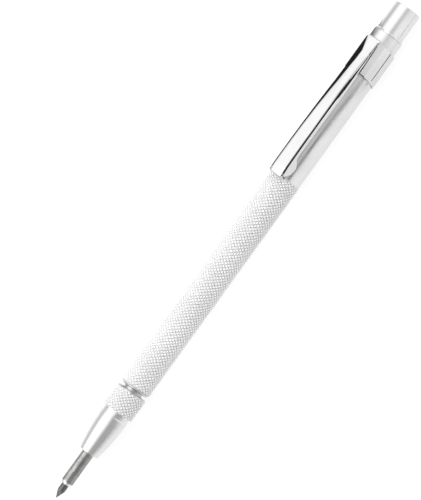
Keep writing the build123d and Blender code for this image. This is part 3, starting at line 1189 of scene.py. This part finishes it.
def ramp_up(tree, value, start, end):
    """0 before start, 1 after end, smooth between."""
    made = node(tree, "ShaderNodeMapRange", interpolation_type="SMOOTHSTEP")
    feed(tree, made.inputs["Value"], value)
    feed(tree, made.inputs["From Min"], start)
    feed(tree, made.inputs["From Max"], end)
    return made.outputs["Result"]


def lobe(tree, value, rise_start, rise_end, fall_start, fall_end):
    """0, then 1 between rise_end and fall_start, then 0 again."""
    up = ramp_up(tree, value, rise_start, rise_end)
    down = ramp_up(tree, value, fall_start, fall_end)
    return times(tree, up, arithmetic(tree, "SUBTRACT", 1.0, down))


def along_tool(tree, x, nose, clip, band, cap):
    """A number that differs where the nose, the clip, the clip's band and the cap reflect it."""
    total = spread(tree, x, nose, clip, -0.06, 0.03)
    total = add(tree, total, spread(tree, x, 0, band - clip, 0.06, 0.066))
    return add(tree, total, spread(tree, x, 0, cap - band, 0.077, 0.084))


def studio_ramp(tree, degrees):
    ramp = node(tree, "ShaderNodeValToRGB")
    ramp.color_ramp.interpolation = "EASE"
    elements = ramp.color_ramp.elements
    elements.remove(elements[-1])
    for i, (turn, light) in enumerate(STUDIO):
        share = (turn + 180) / 360
        element = elements[0] if i == 0 else elements.new(share)
        element.position = share
        element.color = (*grey(light), 1)
    tree.links.new(spread(tree, degrees, 0, 1, -180, 180), ramp.inputs["Fac"])
    return ramp.outputs["Color"]


def studio_gap(tree, degrees, x):
    """A dimmer gap between the lights, higher and narrower towards the tail's end."""
    gap = lobe(
        tree,
        degrees,
        along_tool(tree, x, 22, 11, 9, 17),
        along_tool(tree, x, 40, 20, 20, 31),
        along_tool(tree, x, 88, 24, 22, 38),
        along_tool(tree, x, 128, 78, 40, 56),
    )
    return times(tree, gap, along_tool(tree, x, 0.53, 0.72, 0.25, 0.3))


def make_studio():
    """World whose brightness goes by the angle round the tool, like strip lights along it.

    x is how far a direction leans towards the tail. In the main view it is below -0.07 where the
    shank reflects it and above 0.08 where the cap does. Both have a light, and the cap a shade.
    """
    world = bpy.data.worlds.new("studio")
    bpy.context.scene.world = world
    world.use_nodes = True
    tree = world.node_tree
    tree.nodes.clear()
    coords = node(tree, "ShaderNodeTexCoord")
    split = node(tree, "ShaderNodeSeparateXYZ")
    tree.links.new(coords.outputs["Generated"], split.inputs["Vector"])
    x = split.outputs["X"]
    front = times(tree, split.outputs["Y"], -1.0)
    angle = arithmetic(tree, "ARCTAN2", front, split.outputs["Z"])
    degrees = times(tree, angle, 180 / math.pi)

    at_shank = spread(tree, x, 1, 0, -0.072, -0.069)
    at_cap = times(tree, spread(tree, x, 0, 1, 0.077, 0.084), spread(tree, x, 1, 0, 0.14, 0.2))
    shank_light = times(tree, lobe(tree, degrees, -44, -34, -4, 10), times(tree, at_shank, 0.9))
    cap_light = times(tree, lobe(tree, degrees, 50, 70, 97, 112), times(tree, at_cap, 0.5))
    cap_shade = times(tree, lobe(tree, degrees, -90, -70, -35, -17), times(tree, at_cap, 0.12))
    more = add(tree, cap_light, shank_light)
    less = add(tree, studio_gap(tree, degrees, x), cap_shade)

    background = node(tree, "ShaderNodeBackground")
    tree.links.new(studio_ramp(tree, degrees), background.inputs["Color"])
    strength = arithmetic(tree, "SUBTRACT", add(tree, 1.0, more), less)
    tree.links.new(strength, background.inputs["Strength"])
    output = node(tree, "ShaderNodeOutputWorld")
    tree.links.new(background.outputs["Background"], output.inputs["Surface"])
    bpy.context.scene.view_settings.view_transform = "Standard"


# ---------------------------------------------------------------- everything in place


def finish_piece(obj, material, body, replaced):
    """Gives a piece its material and the body it rides on, and hides the CAD node it stands for."""
    obj.data.materials.clear()
    obj.data.materials.append(material)
    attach(obj, body)
    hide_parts(replaced)


chrome = chrome_plate()
finish_piece(make_barrel(), barrel_aluminium(), "barrel", "barrel")
finish_piece(make_nose_nut(), nose_aluminium(), "nose_nut", "nose_nut")
finish_piece(make_point_shank(), ground_steel(), "point", "point_shank")
finish_piece(make_carbide(), sintered_carbide(), "point", "carbide_tip")
finish_piece(make_tail_cap(), cap_aluminium(), "tail_cap", "tail_cap")
finish_piece(make_magnet(), nickel_plate(), "tail_magnet", "tail_magnet")
finish_piece(make_band(), chrome, "clip_band", "clip_band")
finish_piece(make_tongue(), chrome, "clip_tongue", "clip_tongue")
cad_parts["collet"].data.materials.clear()
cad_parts["collet"].data.materials.append(collet_brass())

make_floor()
make_cards()
make_camera()
make_studio()
